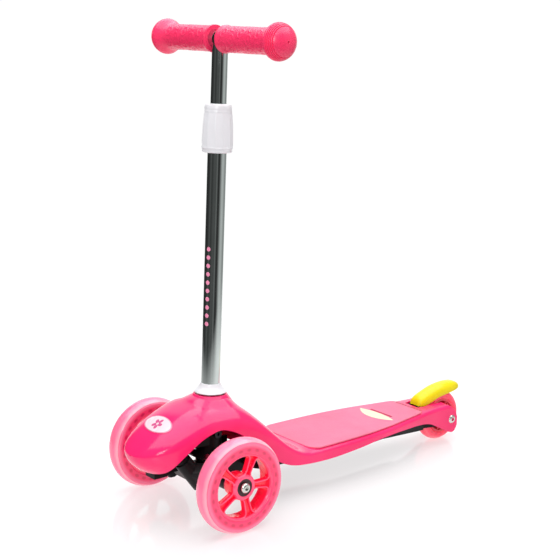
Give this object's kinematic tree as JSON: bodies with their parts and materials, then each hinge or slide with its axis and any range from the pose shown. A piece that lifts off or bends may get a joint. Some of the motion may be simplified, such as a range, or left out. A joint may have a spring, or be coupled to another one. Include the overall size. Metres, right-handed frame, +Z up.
{
  "type": "kick scooter",
  "caption": "Child's lean-to-steer kick scooter with two wheels in front and one behind, a foot brake and a height-adjustable T-bar.",
  "frame": {"origin": "on the ground, under the middle of the scooter's length and width", "axes": "+X to the rider's left, -Y forward towards the two front wheels, +Z up"},
  "size_m": [0.2638, 0.566, 0.6098],
  "materials": {
    "shell_pink": "glossy",
    "frame_black": "satin",
    "pad_pink": "fine texture",
    "cream_trim": "satin",
    "white_plastic": "satin",
    "chrome_tube": "mirror",
    "grip_pink": "satin",
    "tyre_pink": "clear cast",
    "core_red_pink": "satin",
    "bearing_steel": "satin",
    "fastener_steel": "polished",
    "spring_steel": "satin",
    "brake_yellow": "glossy"
  },
  "bodies": {
    "deck": {"body_shell": "shell_pink", "chassis": "frame_black", "deck_pad": "pad_pink", "deck_stripe": "cream_trim", "nose_badge": "white_plastic", "shell_screws": "fastener_steel", "column_collar": "white_plastic", "lower_stem_tube": "chrome_tube", "stem_cross_bolt": "fastener_steel", "stem_cross_nut": "fastener_steel", "clamp_collet": "white_plastic", "left_kingpin": "fastener_steel", "right_kingpin": "fastener_steel", "centering_springs": "spring_steel", "rear_spacers": "fastener_steel", "rear_axle_bolt": "fastener_steel", "rear_axle_nut": "fastener_steel", "brake_pin": "fastener_steel", "brake_spring": "spring_steel"},
    "handlebar": {"upper_stem_tube": "chrome_tube", "stem_glide_bush": "frame_black", "handlebar_crossbar": "chrome_tube", "left_grip": "grip_pink", "right_grip": "grip_pink"},
    "clamp": {"clamp_nut": "white_plastic"},
    "left_steer_arm": {"left_knuckle": "frame_black", "left_tie_pin": "fastener_steel", "left_axle_bolt": "fastener_steel", "left_front_spacer": "fastener_steel"},
    "right_steer_arm": {"right_knuckle": "frame_black", "right_tie_pin": "fastener_steel", "right_axle_bolt": "fastener_steel", "right_front_spacer": "fastener_steel"},
    "steer_link": {"tie_rod": "frame_black"},
    "left_front_wheel": {"left_front_tyre": "tyre_pink", "left_front_core": "core_red_pink", "left_front_bearings": "bearing_steel"},
    "right_front_wheel": {"right_front_tyre": "tyre_pink", "right_front_core": "core_red_pink", "right_front_bearings": "bearing_steel"},
    "rear_wheel": {"rear_tyre": "tyre_pink", "rear_core": "core_red_pink", "rear_bearings": "bearing_steel"},
    "brake": {"brake_pedal": "brake_yellow", "brake_pad": "fastener_steel"}
  },
  "joints": [
    {"name": "handlebar_height", "type": "slide", "parent": "deck", "child": "handlebar", "axis": [0, 0.0436, 0.999], "range_m": [-0.055, 0.085]},
    {"name": "clamp_twist", "type": "hinge", "parent": "deck", "child": "clamp", "pos_m": [0, -0.14931, 0.45901], "axis": [0, 0.0436, 0.999], "range_deg": [0, 120]},
    {"name": "left_steer", "type": "hinge", "parent": "deck", "child": "left_steer_arm", "pos_m": [0.034, -0.2165, 0.063], "axis": [0, -0.6018, 0.7986], "range_deg": [-14, 14], "stiffness_Nm_per_rad": 30},
    {"name": "right_steer", "type": "hinge", "parent": "deck", "child": "right_steer_arm", "pos_m": [-0.034, -0.2165, 0.063], "axis": [0, -0.6018, 0.7986], "range_deg": [-14, 14], "stiffness_Nm_per_rad": 30},
    {"name": "steer_link_pivot", "type": "hinge", "parent": "left_steer_arm", "child": "steer_link", "pos_m": [0.034, -0.19118, 0.07394], "axis": [0, -0.6018, 0.7986], "range_deg": [-14, 14]},
    {"name": "left_front_spin", "type": "hinge", "parent": "left_steer_arm", "child": "left_front_wheel", "pos_m": [0.0995, -0.191, 0.06], "axis": [1, 0, 0], "continuous": true},
    {"name": "right_front_spin", "type": "hinge", "parent": "right_steer_arm", "child": "right_front_wheel", "pos_m": [-0.0995, -0.191, 0.06], "axis": [1, 0, 0], "continuous": true},
    {"name": "rear_spin", "type": "hinge", "parent": "deck", "child": "rear_wheel", "pos_m": [0, 0.244, 0.037], "axis": [1, 0, 0], "continuous": true},
    {"name": "brake_press", "type": "hinge", "parent": "deck", "child": "brake", "pos_m": [0, 0.2, 0.0545], "axis": [-1, 0, 0], "range_deg": [0, 4.2], "stiffness_Nm_per_rad": 0.5, "springref_deg": -17.19}
  ],
  "couplings": [
    {"joint": "right_steer", "follows": "left_steer", "ratio": 1},
    {"joint": "steer_link_pivot", "follows": "left_steer", "ratio": -1}
  ]
}
